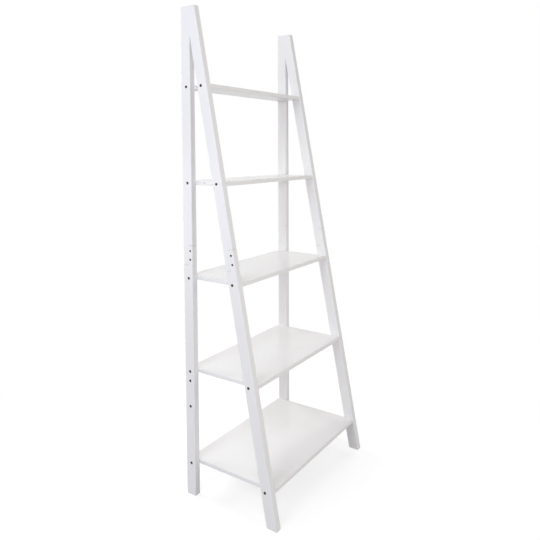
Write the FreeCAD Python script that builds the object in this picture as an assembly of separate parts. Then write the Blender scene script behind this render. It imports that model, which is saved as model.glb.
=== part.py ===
import FreeCAD, Part
import math
import os

from FreeCAD import Placement, Rotation, Vector

# A free-standing ladder bookshelf. Each side frame is an upright back leg and a leaning front leg
# that meet at the top, and the shelves are bolted between the two frames. Each leg comes in two
# lengths, joined by a bolted half lap. Millimetres, +Z up, X across, and the front looks along -Y.
# The origin is on the floor, in the middle of the width and of the depth.

# Overall size
overall_height = 1800.0
overall_width = 654.0
overall_depth = 406.0

# Leg stock, and how much of the front leg stands in front of the back leg at the very top
leg_thickness = 25.0
leg_depth = 42.0
front_tip_depth = 22.4
leg_arris = 2.0

# Shelf boards: the bottom one's height above the floor, the top one's drop below the top of the
# frames, and the step between the two highest, all measured to their upper faces
shelf_thickness = 15.0
shelf_arris = 2.0
bottom_shelf_height = 130.0
top_shelf_drop = 277.5
top_shelf_pitch = 345.5

# Bolts through the legs into the shelf ends, as offsets from the middle of the leg's depth
back_bolt_forward = 2.0
front_bolt_rearward = 4.5
shelf_bolt_diameter = 6.0
shelf_bolt_head_diameter = 10.0
shelf_bolt_head_height = 6.0
shelf_bolt_recess = 2.0
shelf_bolt_key = 5.0
shelf_bolt_key_depth = 3.0
shelf_bolt_past_nut = 3.0

# Barrel nuts that go up into the shelves from below
shelf_nut_diameter = 10.0
shelf_nut_inset = 25.0
shelf_nut_cover = 1.5

# Half laps that join the upper and lower legs, a set distance above the middle shelf
lap_above_shelf = 78.0
lap_length = 72.0
lap_gap = 0.4
lap_bolt_from_end = 20.0
lap_bolt_diameter = 5.0
lap_bolt_head_diameter = 8.5
lap_bolt_head_height = 5.0
lap_bolt_recess = 1.0
lap_bolt_key = 4.0
lap_bolt_key_depth = 2.5
lap_bolt_past_nut = 0.5
lap_nut_diameter = 8.0
lap_nut_length = 12.0

# Details that all bolts and nuts share
bolt_chamfer = 0.6
nut_chamfer = 0.5
nut_slot_width = 1.2
nut_slot_depth = 1.2

# Glued dowels between the two legs at the top
dowel_count = 2
dowel_diameter = 8.0
dowel_in_back_leg = 18.0
dowel_in_front_leg = 12.0
dowel_chamfer = 1.0

# Spare bolt holes in the back legs, below the lower shelf's bolts
spare_hole_drop = 35.0
spare_hole_spacing = 97.0

# Small holes in the ends of the two highest shelves, measured from the back edge
hanging_hole_diameter = 4.0
hanging_hole_depth = 12.0
top_shelf_hanging_hole = 52.0
upper_shelf_hanging_hole = 82.0

# Clearances, radial unless they are at the end of a hole
bolt_clearance = 0.25
thread_clearance = 0.1
nut_clearance = 0.1
dowel_clearance = 0.1
hole_end_clearance = 1.0

# Planes of the side frames, across and from back to front
half_width = overall_width / 2
inner_half_width = half_width - leg_thickness
left_leg_middle = -half_width + leg_thickness / 2
back_face = overall_depth / 2
back_leg_front = back_face - leg_depth
top_front = back_leg_front - front_tip_depth
front_toe = -overall_depth / 2

# The front leg leans back from its toe on the floor to the tip at the top
lean = math.atan2(top_front - front_toe, overall_height)

# Above the apex the front leg is cut flat and glued to the front of the back leg
apex_height = (back_leg_front - front_toe - leg_depth / math.cos(lean)) / math.tan(lean)

# Shelf heights from the floor up, with even steps from the bottom shelf to the upper one
even_shelves = ["bottom_shelf", "lower_shelf", "middle_shelf", "upper_shelf"]
top_shelf_height = overall_height - top_shelf_drop
upper_shelf_height = top_shelf_height - top_shelf_pitch
shelf_pitch = (upper_shelf_height - bottom_shelf_height) / (len(even_shelves) - 1)
shelf_heights = {name: bottom_shelf_height + step * shelf_pitch for step, name in enumerate(even_shelves)}
shelf_heights["top_shelf"] = top_shelf_height
hanging_holes = {
    "top_shelf": top_shelf_hanging_hole,
    "upper_shelf": upper_shelf_hanging_hole,
}

# Leg positions: the front face's place on the floor, the lean, and the depth of the shelf bolts in it
leg_lines = {
    "back": (back_leg_front, 0.0, leg_depth / 2 - back_bolt_forward),
    "front": (front_toe, lean, leg_depth / 2 + front_bolt_rearward),
}

# Depths within a leg, from its front face: the plane of the lap, and the nuts in the front tongue
lap_plane = leg_depth / 2
lap_nut_depth = lap_plane / 2
lap_height = shelf_heights["middle_shelf"] + lap_above_shelf

# Bolts seat on the bottom of their counterbores and reach just past their nuts
shelf_seat_depth = shelf_bolt_recess + shelf_bolt_head_height
shelf_bolt_reach = shelf_nut_inset + shelf_nut_diameter / 2 + shelf_bolt_past_nut
shelf_bolt_length = leg_thickness - shelf_seat_depth + shelf_bolt_reach
shelf_nut_length = shelf_thickness - 2 * shelf_nut_cover
lap_seat_depth = lap_bolt_recess + lap_bolt_head_height
lap_bolt_reach = leg_depth - lap_nut_depth + lap_nut_diameter / 2 + lap_bolt_past_nut
lap_bolt_length = lap_bolt_reach - lap_seat_depth

X = Vector(1, 0, 0)
Y = Vector(0, 1, 0)
Z = Vector(0, 0, 1)
tiny = 1e-4


def mirrored(shape):
    """The right-hand copy of a left-hand piece."""
    return shape.mirror(Vector(), X)


def pair(shapes):
    """Left-hand solids and their right-hand copies, as one group."""
    return Part.makeCompound(shapes + [mirrored(shape) for shape in shapes])


def turned(points):
    """A solid turned about Z from (radius, height) points."""
    corners = [Vector(radius, 0, height) for radius, height in points]
    return Part.Face(Part.makePolygon(corners + corners[:1])).revolve(Vector(), Z, 360)


def rod(radius, start, direction, length):
    """A plain round bar, mostly used to drill holes."""
    return Part.makeCylinder(radius, length, start, direction)


def socket_bolt(seat, direction, diameter, length, head_diameter, head_height, key, key_depth):
    """A cylinder-head bolt with a hexagon socket, its head's underside at the seat."""
    radius = diameter / 2
    head = head_diameter / 2
    body = turned([
        (0, -head_height), (head - bolt_chamfer, -head_height), (head, bolt_chamfer - head_height), (head, 0),
        (radius, 0), (radius, length - bolt_chamfer), (radius - bolt_chamfer, length), (0, length),
    ])
    corner = key / math.sqrt(3)
    turns = [math.radians(60 * step) for step in range(7)]
    ring = [Vector(corner * math.cos(turn), corner * math.sin(turn), -head_height) for turn in turns]
    socket = Part.Face(Part.makePolygon(ring)).extrude(key_depth * Z)
    bolt = body.cut(socket)
    bolt.Placement = Placement(seat, Rotation(Z, direction))
    return bolt


def barrel_nut(centre, axis, bolt_direction, diameter, length, bolt_diameter):
    """A round cross nut with a slotted outer end, threaded through its side for the bolt."""
    radius = diameter / 2
    half = length / 2
    edge = radius - nut_chamfer
    shoulder = half - nut_chamfer
    body = turned([
        (0, -half), (edge, -half), (radius, -shoulder),
        (radius, shoulder), (edge, half), (0, half),
    ])
    thread = rod(bolt_diameter / 2 + thread_clearance, -diameter * X, X, 2 * diameter)
    slot = Part.makeBox(
        nut_slot_width, diameter, nut_slot_depth,
        Vector(-nut_slot_width / 2, -radius, half - nut_slot_depth),
    )
    nut = body.cut([thread, slot])
    nut.Placement = Placement(centre, Rotation(bolt_direction, axis.cross(bolt_direction), axis, "ZXY"))
    return nut


def leg_placement(kind):
    """Takes a leg's own frame, with depth along +Y and length along +Z, to where the leg stands."""
    floor_place, tilt, _ = leg_lines[kind]
    return Placement(Vector(0, floor_place, 0), Rotation(X, -math.degrees(tilt)))


def along_leg(kind, depth, height):
    """Distance along a leg to the point at this depth in it and this height above the floor."""
    tilt = leg_lines[kind][1]
    return (height + depth * math.sin(tilt)) / math.cos(tilt)


def shelf_bolt_point(kind, height):
    """Where the axis of a shelf bolt at this height leaves the left frame's outer face."""
    depth = leg_lines[kind][2]
    return leg_placement(kind).multVec(Vector(-half_width, depth, along_leg(kind, depth, height)))


def rounded(bar, square_places):
    """Rounds the arrises of a leg, except the edges that lie in one of the square places."""
    arrises = []
    for edge in bar.Edges:
        middle = edge.CenterOfMass
        if not any(abs(middle[axis] - place) < tiny for axis, place in square_places):
            arrises.append(edge)
    return bar.makeFillet(leg_arris, arrises)


def whole_back_leg():
    """The upright leg in one length, left square in front where the front leg is glued on."""
    corner = Vector(-half_width, back_leg_front, 0)
    free = Part.makeBox(leg_thickness, leg_depth, apex_height, corner)
    glued = Part.makeBox(leg_thickness, leg_depth, overall_height - apex_height, corner + apex_height * Z)
    at_apex = (2, apex_height)
    at_seam = (1, back_leg_front)
    return rounded(free, [at_apex]).fuse(rounded(glued, [at_apex, at_seam])).removeSplitter()


def whole_front_leg():
    """The leaning leg in one length, level at both ends and cut upright where it is glued on."""
    run = leg_depth / math.cos(lean)
    outline = [
        Vector(-half_width, front_toe, 0),
        Vector(-half_width, front_toe + run, 0),
        Vector(-half_width, top_front + run, overall_height),
        Vector(-half_width, top_front, overall_height),
    ]
    bar = Part.Face(Part.makePolygon(outline + outline[:1])).extrude(leg_thickness * X)
    behind_seam = Part.makeBox(
        leg_thickness, leg_depth, overall_height,
        Vector(-half_width, back_leg_front, 0),
    )
    return rounded(bar, []).cut(behind_seam)


def lap_tools(kind):
    """Cutters that leave the lower leg with a front tongue, and the upper leg with a rear tongue."""
    middle = along_leg(kind, lap_plane, lap_height)
    low = middle - lap_length / 2
    high = middle + lap_length / 2
    far = 2 * overall_height
    corner = -half_width
    above = Part.makeBox(leg_thickness, leg_depth, far, Vector(corner, 0, high))
    behind = Part.makeBox(leg_thickness, leg_depth - lap_plane, lap_length, Vector(corner, lap_plane, low))
    below = Part.makeBox(leg_thickness, leg_depth, far + lap_gap, Vector(corner, 0, low - far))
    ahead = Part.makeBox(leg_thickness, lap_plane, lap_length, Vector(corner, 0, low + lap_gap))
    tools = {"lower": [above, behind], "upper": [below, ahead]}
    for cutters in tools.values():
        for cutter in cutters:
            cutter.Placement = leg_placement(kind)
    return tools


def lap_bolt_levels(kind):
    """Distances along the leg to its lap bolts."""
    middle = along_leg(kind, lap_plane, lap_height)
    half_spacing = lap_length / 2 - lap_bolt_from_end
    return [middle - half_spacing, middle + half_spacing]


def lap_holes(kind):
    """Bolt holes from the rear face of a lap, and nut holes from its outer face."""
    bolt_radius = lap_bolt_diameter / 2 + bolt_clearance
    head_radius = lap_bolt_head_diameter / 2 + bolt_clearance
    nut_radius = lap_nut_diameter / 2 + nut_clearance
    nut_hole_depth = leg_thickness / 2 + lap_nut_length / 2
    holes = []
    for level in lap_bolt_levels(kind):
        rear = Vector(left_leg_middle, leg_depth, level)
        nut_mouth = Vector(-half_width, lap_nut_depth, level)
        holes.append(rod(bolt_radius, rear, -Y, lap_bolt_reach + hole_end_clearance))
        holes.append(rod(head_radius, rear, -Y, lap_seat_depth))
        holes.append(rod(nut_radius, nut_mouth, X, nut_hole_depth))
    for hole in holes:
        hole.Placement = leg_placement(kind).multiply(hole.Placement)
    return holes


def counterbored_hole(mouth):
    """A bolt hole through a left leg, counterbored from its outer face."""
    through = rod(shelf_bolt_diameter / 2 + bolt_clearance, mouth, X, leg_thickness)
    seat = rod(shelf_bolt_head_diameter / 2 + bolt_clearance, mouth, X, shelf_seat_depth)
    return [through, seat]


def bolt_heights():
    """Heights of the shelf bolts, at the middle of each board."""
    return {name: height - shelf_thickness / 2 for name, height in shelf_heights.items()}


def spare_hole_heights():
    """Heights of the spare holes in the back legs, the upper one first."""
    first = bolt_heights()["lower_shelf"] - spare_hole_drop
    return [first, first - spare_hole_spacing]


def dowel_centres():
    """Points on the glued face, spread evenly between the apex and the top."""
    step = (overall_height - apex_height) / (dowel_count + 1)
    heights = [apex_height + step * (index + 1) for index in range(dowel_count)]
    return [Vector(left_leg_middle, back_leg_front, height) for height in heights]


def dowel_holes():
    """Holes across the glued face, a little longer than the dowels."""
    radius = dowel_diameter / 2 + dowel_clearance
    depth = dowel_in_back_leg + dowel_in_front_leg + 2 * hole_end_clearance
    back_end = (dowel_in_back_leg + hole_end_clearance) * Y
    return [rod(radius, centre + back_end, -Y, depth) for centre in dowel_centres()]


def top_dowels():
    """The glued dowels of the left frame, chamfered at both ends."""
    radius = dowel_diameter / 2
    edge = radius - dowel_chamfer
    low = -dowel_in_front_leg
    high = dowel_in_back_leg
    shape = [
        (0, low), (edge, low), (radius, low + dowel_chamfer),
        (radius, high - dowel_chamfer), (edge, high), (0, high),
    ]
    dowels = []
    for centre in dowel_centres():
        dowel = turned(shape)
        dowel.Placement = Placement(centre, Rotation(Z, Y))
        dowels.append(dowel)
    return dowels


def leg_pieces(kind):
    """The upper and lower lengths of a left leg, lapped and drilled."""
    whole = whole_back_leg() if kind == "back" else whole_front_leg()
    heights = list(bolt_heights().values())
    if kind == "back":
        heights += spare_hole_heights()
    holes = lap_holes(kind) + dowel_holes()
    for height in heights:
        holes += counterbored_hole(shelf_bolt_point(kind, height))
    return {level: whole.cut(cutters).cut(holes) for level, cutters in lap_tools(kind).items()}


def shelf_nut_centre(kind, height):
    """The middle of a barrel nut, on the axis of its shelf bolt."""
    point = shelf_bolt_point(kind, height)
    return Vector(-inner_half_width + shelf_nut_inset, point.y, height)


def shelf(name):
    """A board between the frames, flush with the back legs and with the front legs at its upper face."""
    top = shelf_heights[name]
    bottom = top - shelf_thickness
    front = front_toe + top * math.tan(lean)
    board = Part.makeBox(
        2 * inner_half_width, back_face - front, shelf_thickness,
        Vector(-inner_half_width, front, bottom),
    )
    board = board.makeFillet(shelf_arris, board.Edges)
    height = bolt_heights()[name]
    bolt_radius = shelf_bolt_diameter / 2 + bolt_clearance
    nut_radius = shelf_nut_diameter / 2 + nut_clearance
    holes = []
    for kind in leg_lines:
        nut = shelf_nut_centre(kind, height)
        mouth = Vector(-inner_half_width, nut.y, height)
        nut_mouth = Vector(nut.x, nut.y, bottom)
        holes.append(rod(bolt_radius, mouth, X, shelf_bolt_reach + hole_end_clearance))
        holes.append(rod(nut_radius, nut_mouth, Z, shelf_thickness - shelf_nut_cover))
    if name in hanging_holes:
        mouth = Vector(-inner_half_width, back_face - hanging_holes[name], height)
        holes.append(rod(hanging_hole_diameter / 2, mouth, X, hanging_hole_depth))
    return board.cut(holes + [mirrored(hole) for hole in holes])


def shelf_bolts(name):
    """The four bolts of a shelf, two through each side frame."""
    height = bolt_heights()[name]
    bolts = []
    for kind in leg_lines:
        seat = shelf_bolt_point(kind, height) + shelf_seat_depth * X
        bolts.append(socket_bolt(
            seat, X, shelf_bolt_diameter, shelf_bolt_length,
            shelf_bolt_head_diameter, shelf_bolt_head_height, shelf_bolt_key, shelf_bolt_key_depth,
        ))
    return pair(bolts)


def shelf_nuts(name):
    """The four barrel nuts of a shelf, with their slots looking down."""
    height = bolt_heights()[name]
    nuts = []
    for kind in leg_lines:
        centre = shelf_nut_centre(kind, height)
        nuts.append(barrel_nut(centre, -Z, X, shelf_nut_diameter, shelf_nut_length, shelf_bolt_diameter))
    return pair(nuts)


def lap_bolts(kind):
    """The two bolts of a left leg's lap, driven in from the rear."""
    frame = leg_placement(kind)
    bolts = []
    for level in lap_bolt_levels(kind):
        seat = frame.multVec(Vector(left_leg_middle, leg_depth - lap_seat_depth, level))
        bolts.append(socket_bolt(
            seat, frame.Rotation.multVec(-Y), lap_bolt_diameter, lap_bolt_length,
            lap_bolt_head_diameter, lap_bolt_head_height, lap_bolt_key, lap_bolt_key_depth,
        ))
    return bolts


def lap_nuts(kind):
    """The two barrel nuts of a left leg's lap, with their slots in the outer face."""
    frame = leg_placement(kind)
    nuts = []
    for level in lap_bolt_levels(kind):
        centre = frame.multVec(Vector(left_leg_middle, lap_nut_depth, level))
        along = frame.Rotation.multVec(-Y)
        nuts.append(barrel_nut(centre, -X, along, lap_nut_diameter, lap_nut_length, lap_bolt_diameter))
    return nuts


def write_sides(pattern, solids):
    """Writes a left-hand group of solids, and its right-hand copy, as two nodes."""
    group = Part.makeCompound(solids) if len(solids) > 1 else solids[0]
    group.exportStep("parts/" + pattern.format("left") + ".step")
    mirrored(group).exportStep("parts/" + pattern.format("right") + ".step")


def main():
    """Makes every piece and writes it as a node of its own."""
    os.makedirs("parts", exist_ok=True)
    for kind in leg_lines:
        for level, leg in leg_pieces(kind).items():
            write_sides("{}_" + kind + "_leg_" + level, leg.Solids)
        write_sides("{}_" + kind + "_lap_bolts", lap_bolts(kind))
        write_sides("{}_" + kind + "_lap_nuts", lap_nuts(kind))
    write_sides("{}_top_dowels", top_dowels())
    for name in shelf_heights:
        shelf(name).Solids[0].exportStep("parts/" + name + ".step")
        shelf_bolts(name).exportStep("parts/" + name + "_bolts.step")
        shelf_nuts(name).exportStep("parts/" + name + "_nuts.step")


main()
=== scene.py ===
# %% [markdown]
# # A white ladder bookshelf
# Two side frames, each an upright back leg and a leaning front leg, carry five boards that grow
# deeper towards the floor. This lesson dresses the imported model of it: every piece keeps the place
# and the size that the model gives, and gets the finish and the small forms of the real one.
# The imported model is loaded first, and its outer box is kept for the measures.

# %% Load the fixed frame
import math

import bmesh
import bpy
from mathutils import Matrix, Vector


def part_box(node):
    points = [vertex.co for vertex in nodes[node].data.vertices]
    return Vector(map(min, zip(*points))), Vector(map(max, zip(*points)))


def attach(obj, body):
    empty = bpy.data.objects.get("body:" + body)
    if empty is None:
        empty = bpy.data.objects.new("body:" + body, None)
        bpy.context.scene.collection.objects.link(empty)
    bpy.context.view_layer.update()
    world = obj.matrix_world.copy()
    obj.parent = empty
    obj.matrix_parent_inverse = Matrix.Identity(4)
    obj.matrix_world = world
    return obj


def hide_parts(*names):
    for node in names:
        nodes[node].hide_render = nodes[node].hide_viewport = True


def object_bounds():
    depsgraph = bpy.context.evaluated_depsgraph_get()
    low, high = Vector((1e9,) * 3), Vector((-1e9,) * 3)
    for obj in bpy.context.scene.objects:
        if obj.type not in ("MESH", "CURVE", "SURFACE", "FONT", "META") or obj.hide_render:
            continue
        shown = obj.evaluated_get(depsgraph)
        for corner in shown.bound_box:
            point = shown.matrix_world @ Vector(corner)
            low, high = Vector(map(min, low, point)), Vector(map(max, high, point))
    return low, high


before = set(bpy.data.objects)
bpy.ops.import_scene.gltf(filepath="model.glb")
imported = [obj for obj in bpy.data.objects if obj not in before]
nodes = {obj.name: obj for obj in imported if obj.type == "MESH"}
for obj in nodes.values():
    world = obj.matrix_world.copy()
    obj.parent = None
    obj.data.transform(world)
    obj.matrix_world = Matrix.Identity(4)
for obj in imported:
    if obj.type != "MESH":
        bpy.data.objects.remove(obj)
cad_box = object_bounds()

corners = [tuple(round(value, 4) for value in corner) for corner in cad_box]
print("loaded", len(nodes), "nodes, box", corners)

# %% [markdown]
# ## Measures
# No piece is placed by eye. The boards' own boxes give their heights, and the line through their
# front edges gives the lean of the front legs. The small sizes of bolts, nuts and dowels are those
# of common furniture fittings, in metres.

# %% Measure the boards and the legs
MM = 0.001
SIDES = {"left": -1, "right": 1}
SHELVES = ["bottom_shelf", "lower_shelf", "middle_shelf", "upper_shelf", "top_shelf"]
low_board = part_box("bottom_shelf")
high_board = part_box("top_shelf")
back_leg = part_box("left_back_leg_lower")
board_end = high_board[1].x
half_width = cad_box[1][0]
height = cad_box[1][2]
leg_thickness = half_width - board_end
leg_depth = back_leg[1].y - back_leg[0].y
back_leg_front = back_leg[0].y
lean = math.atan2(high_board[0].y - low_board[0].y, high_board[1].z - low_board[1].z)
toe = low_board[0].y - low_board[1].z * math.tan(lean)
print(f"lean {math.degrees(lean):.2f} degrees, toe at {toe:.4f} m")
print(f"legs of {leg_thickness / MM:.0f} by {leg_depth / MM:.0f} mm")

# %% Turn a point of the bookshelf into a leg's own directions
LEG_FRAMES = {
    "back": Matrix.Translation((0, back_leg_front, 0)),
    "front": Matrix.Translation((0, toe, 0)) @ Matrix.Rotation(-lean, 4, "X"),
}


def along_leg(kind, depth, level):
    """Distance along a leg to the point at this depth in it and this height above the floor."""
    tilt = lean if kind == "front" else 0.0
    return (level + depth * math.sin(tilt)) / math.cos(tilt)


print("leg frames:", ", ".join(LEG_FRAMES))

# %% [markdown]
# ## Writing node trees
# Materials and Geometry Nodes are both trees of nodes. Short helpers keep the trees easy to read:
# one adds a node and fills or links its inputs, and the others do sums, make noise and mix colours.

# %% Helpers for node trees
def fill(tree, node, inputs):
    """Fills or links the inputs of a node that are named."""
    for key, value in inputs.items():
        if isinstance(value, bpy.types.NodeSocket):
            tree.links.new(value, node.inputs[key])
        else:
            node.inputs[key].default_value = value


def add(tree, kind, inputs=None, **settings):
    """Adds a node, sets its properties, and fills its inputs."""
    node = tree.nodes.new(kind)
    for key, value in settings.items():
        setattr(node, key, value)
    fill(tree, node, inputs or {})
    return node


def sum_of(tree, operation, *terms):
    """A sum with plain numbers."""
    return add(tree, "ShaderNodeMath", dict(enumerate(terms)), operation=operation).outputs[0]


def vector_sum(tree, operation, *terms):
    """A sum with vectors."""
    return add(tree, "ShaderNodeVectorMath", dict(enumerate(terms)), operation=operation).outputs[0]


def scaled(tree, vector, factor):
    """A vector made longer or shorter."""
    return add(tree, "ShaderNodeVectorMath", {0: vector, 3: factor}, operation="SCALE").outputs[0]


print("helpers for sums ready")

# %% Helpers for finishes
def noise(tree, place, scale, detail=2.0, roughness=0.5):
    """Cloudy grey noise at a place, from 0 to 1."""
    return add(tree, "ShaderNodeTexNoise", {
        "Vector": place, "Scale": scale, "Detail": detail, "Roughness": roughness,
    }).outputs[0]


def stretched_noise(tree, place, scales, detail=2.0, roughness=0.5):
    """Noise with its own scale in each direction, for streaks."""
    return noise(tree, vector_sum(tree, "MULTIPLY", place, scales), 1.0, detail, roughness)


def spread(tree, value, low, high):
    """Takes grey noise, which mostly lies between 0.3 and 0.7, to a range of another kind."""
    return add(tree, "ShaderNodeMapRange", {
        "Value": value, "From Min": 0.3, "From Max": 0.7, "To Min": low, "To Max": high,
    }).outputs[0]


def two_colours(tree, factor, first, second):
    """One colour fading into another."""
    return add(tree, "ShaderNodeMix", {0: factor, 6: first, 7: second}, data_type="RGBA").outputs[2]


def bumped(tree, relief, strength, distance, below=None):
    """A surface raised by a grey value, on top of another such surface if there is one."""
    inputs = {"Strength": strength, "Distance": distance, "Height": relief}
    if below is not None:
        inputs["Normal"] = below
    return add(tree, "ShaderNodeBump", inputs).outputs[0]


def new_finish(name):
    """An empty material, with its tree and its shader."""
    material = bpy.data.materials.new(name)
    material.use_nodes = True
    tree = material.node_tree
    return material, tree, tree.nodes["Principled BSDF"]


print("helpers for finishes ready")

# %% [markdown]
# ## White paint on the legs
# The legs are solid timber under a satin white paint. Close up, such paint is not dead flat: the
# grain swells a little and shows through as long, faint ridges, the spray leaves a fine ripple, and
# the film is thinnest on the rounded edges. The hairline seams of the laps are painted a darker grey,
# as painted shade in the groove between two lengths. The ridges have to run along each leg, and the
# front legs lean, so every leg carries its own directions in an attribute that the material reads.

# %% Paint for the legs
def leg_paint():
    """Satin white paint over timber, with the grain just showing along the leg."""
    thin_film = (0.835, 0.838, 0.842, 1)
    full_film = (0.86, 0.862, 0.864, 1)
    rubbed = (0.82, 0.815, 0.80, 1)
    # The dark grey is painted shade for the seams of the laps, where the groove falls in shadow.
    painted_seam_shade = (0.6, 0.595, 0.59, 1)
    material, tree, shader = new_finish("painted_timber")
    grain = add(tree, "ShaderNodeAttribute", attribute_name="along_grain").outputs["Vector"]
    on_arris = add(tree, "ShaderNodeAttribute", attribute_name="arris").outputs["Fac"]
    in_seam = add(tree, "ShaderNodeAttribute", attribute_name="seam").outputs["Fac"]
    ridges = stretched_noise(tree, grain, (520, 520, 9), 3.0, 0.55)
    pits = stretched_noise(tree, grain, (1700, 1700, 60), 1.0)
    ripple = noise(tree, grain, 420.0, 1.0)
    cloud = stretched_noise(tree, grain, (14, 14, 3))
    film = two_colours(tree, spread(tree, cloud, 0, 1), thin_film, full_film)
    worn = two_colours(tree, sum_of(tree, "MULTIPLY", on_arris, 0.6), film, rubbed)
    grained = bumped(tree, ridges, 0.15, 0.03 * MM)
    pitted = bumped(tree, pits, 0.12, 0.02 * MM, grained)
    # The faces of the seams take the painted shade colour.
    fill(tree, shader, {
        "Base Color": two_colours(tree, in_seam, worn, painted_seam_shade),
        "Roughness": spread(tree, ridges, 0.29, 0.37),
        "Normal": bumped(tree, ripple, 0.12, 0.02 * MM, pitted),
        "Coat Weight": 0.15,
        "Coat Roughness": 0.2,
    })
    return material


painted_timber = leg_paint()
print("finish:", painted_timber.name)

# %% [markdown]
# ## White lacquer on the boards
# The boards are pressed fibre board, so no grain shows. Their lacquer is smoother and a little
# glossier than the legs' paint, which is why the legs mirror softly in it, and it has the fine dimples
# that painters call orange peel. Object coordinates are enough, because nothing runs along the board.

# %% Lacquer for the boards
def board_lacquer():
    """Smooth white lacquer with a fine orange peel."""
    thin_film = (0.852, 0.853, 0.855, 1)
    full_film = (0.87, 0.871, 0.872, 1)
    rubbed = (0.837, 0.832, 0.822, 1)
    material, tree, shader = new_finish("lacquered_board")
    place = add(tree, "ShaderNodeTexCoord").outputs["Object"]
    on_arris = add(tree, "ShaderNodeAttribute", attribute_name="arris").outputs["Fac"]
    cloud = noise(tree, place, 9.0)
    peel = noise(tree, place, 330.0, 1.0)
    haze = noise(tree, place, 5.0, 1.0)
    film = two_colours(tree, spread(tree, cloud, 0, 1), thin_film, full_film)
    fill(tree, shader, {
        "Base Color": two_colours(tree, sum_of(tree, "MULTIPLY", on_arris, 0.5), film, rubbed),
        "Roughness": spread(tree, haze, 0.25, 0.262),
        "Normal": bumped(tree, peel, 0.12, 0.02 * MM),
        "Coat Weight": 0.1,
        "Coat Roughness": 0.16,
    })
    return material


lacquered_board = board_lacquer()
print("finish:", lacquered_board.name)

# %% [markdown]
# ## Bare wood and metal
# The holes are drilled after painting, so their walls are bare: reddish timber in the legs, brown
# fibre in the boards, both drawn darker than the wood as painted shade inside the holes. The bolts
# have a dark bronze coating, rubbed a little paler in places, the nuts have a dull zinc plating, and
# the dowels are plain beech. One function makes every kind of bare wood from two colours and a
# direction of its streaks, and another every coated metal.

# %% Bare wood, metal and beech
def bare_wood(name, dark, pale, stretch):
    """Cut wood with streaks of two colours."""
    material, tree, shader = new_finish(name)
    place = add(tree, "ShaderNodeTexCoord").outputs["Object"]
    streaks = stretched_noise(tree, place, stretch, 4.0, 0.6)
    fill(tree, shader, {
        "Base Color": two_colours(tree, spread(tree, streaks, 0, 1), dark, pale),
        "Roughness": spread(tree, streaks, 0.62, 0.8),
        "Normal": bumped(tree, streaks, 0.5, 0.1 * MM),
    })
    return material


def coated_metal(name, dark, pale, smooth, rough):
    """Metal with a patchy coating and fine handling marks."""
    material, tree, shader = new_finish(name)
    place = add(tree, "ShaderNodeTexCoord").outputs["Object"]
    patches = noise(tree, place, 700.0, 3.0, 0.6)
    marks = stretched_noise(tree, place, (900, 900, 5000))
    fill(tree, shader, {
        "Base Color": two_colours(tree, spread(tree, patches, 0, 1), dark, pale),
        "Roughness": spread(tree, marks, smooth, rough),
        "Normal": bumped(tree, marks, 0.25, 0.04 * MM),
        "Metallic": 1.0,
    })
    return material


# Both hole colours are darker than the bare wood itself: painted shade inside the drilled holes.
timber_and_hole_shade = bare_wood(
    "timber_and_hole_shade", (0.13, 0.06, 0.04, 1), (0.26, 0.14, 0.09, 1), (700, 700, 90))
board_and_hole_shade = bare_wood(
    "board_and_hole_shade", (0.16, 0.10, 0.06, 1), (0.25, 0.17, 0.11, 1), (900, 900, 900))
beech = bare_wood(
    "beech", (0.50, 0.33, 0.19, 1), (0.66, 0.48, 0.31, 1), (1200, 120, 1200))
bronzed_steel = coated_metal(
    "bronzed_steel", (0.10, 0.058, 0.042, 1), (0.21, 0.13, 0.095, 1), 0.34, 0.5)
zinc_plate = coated_metal(
    "zinc_plate", (0.24, 0.235, 0.23, 1), (0.40, 0.39, 0.38, 1), 0.5, 0.62)
bare_finishes = (timber_and_hole_shade, board_and_hole_shade, beech, bronzed_steel, zinc_plate)
print("finishes:", ", ".join(finish.name for finish in bare_finishes))

# %% [markdown]
# ## The legs
# Each leg is a planed bar with rounded edges, lapped in the middle and drilled for its bolts. The
# imported model already has that shape exactly, so a copy of it is the best start: its loose triangles
# are joined up and its true normals are kept. The sawn shoulders of the lap lose their sharp edge, so
# that a hairline shows where two lengths meet. Then the walls of the drilled holes get bare timber,
# darkened as painted shade, the rounded edges are marked for the paint, which also covers the ends,
# the seams are marked for a painted shade, and the directions of the grain are written down.

# %% Sort the faces of a leg
NEAR = 0.05 * MM
LEG_ARRIS = 2 * MM
FACING = 0.999
ROUNDED_BELOW = 0.9975
leg_middle = half_width - leg_thickness / 2


def depths_in_leg(centre, own_centre):
    """How deep a point lies under the nearest side face, and under the front or rear face."""
    from_side = leg_thickness / 2 - abs(abs(centre.x) - leg_middle)
    from_face = leg_depth / 2 - abs(own_centre.y - leg_depth / 2)
    return from_side, from_face


def is_drilled(centre, normal, own_centre, own_normal):
    """True for a face inside the bar that is no rounded edge, end, lap or glued face."""
    from_side, from_face = depths_in_leg(centre, own_centre)
    if min(from_side, from_face) < NEAR or max(from_side, from_face) < LEG_ARRIS:
        return False
    at_end = min(centre.z, height - centre.z) < LEG_ARRIS
    on_glue = abs(centre.y - back_leg_front) < NEAR and abs(normal.y) > FACING
    on_shoulder = abs(own_normal.z) > FACING
    on_lap = abs(own_normal.y) > FACING and from_face > leg_depth / 2 - NEAR
    return not (at_end or on_glue or on_shoulder or on_lap)


def is_rounded(own_normal):
    """True for a face of a rounded edge, which looks along none of the leg's own directions."""
    return max(abs(value) for value in own_normal) < ROUNDED_BELOW


print("faces nearer than", NEAR, "m to a plane lie in it")

# %% Copy a packed leg and ease its lap
WELD = 0.001 * MM
SEAM = 0.4 * MM
middle_board_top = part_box("middle_shelf")[1].z
LAP_ZONE = (middle_board_top + 20 * MM, middle_board_top + 140 * MM)


def add_attribute(mesh, name, kind, domain, values):
    """Writes one value for each point or face of a mesh."""
    field = mesh.attributes.new(name, kind, domain)
    key = "vector" if kind == "FLOAT_VECTOR" else "value"
    flat = [number for value in values for number in value] if key == "vector" else values
    field.data.foreach_set(key, flat)


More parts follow.
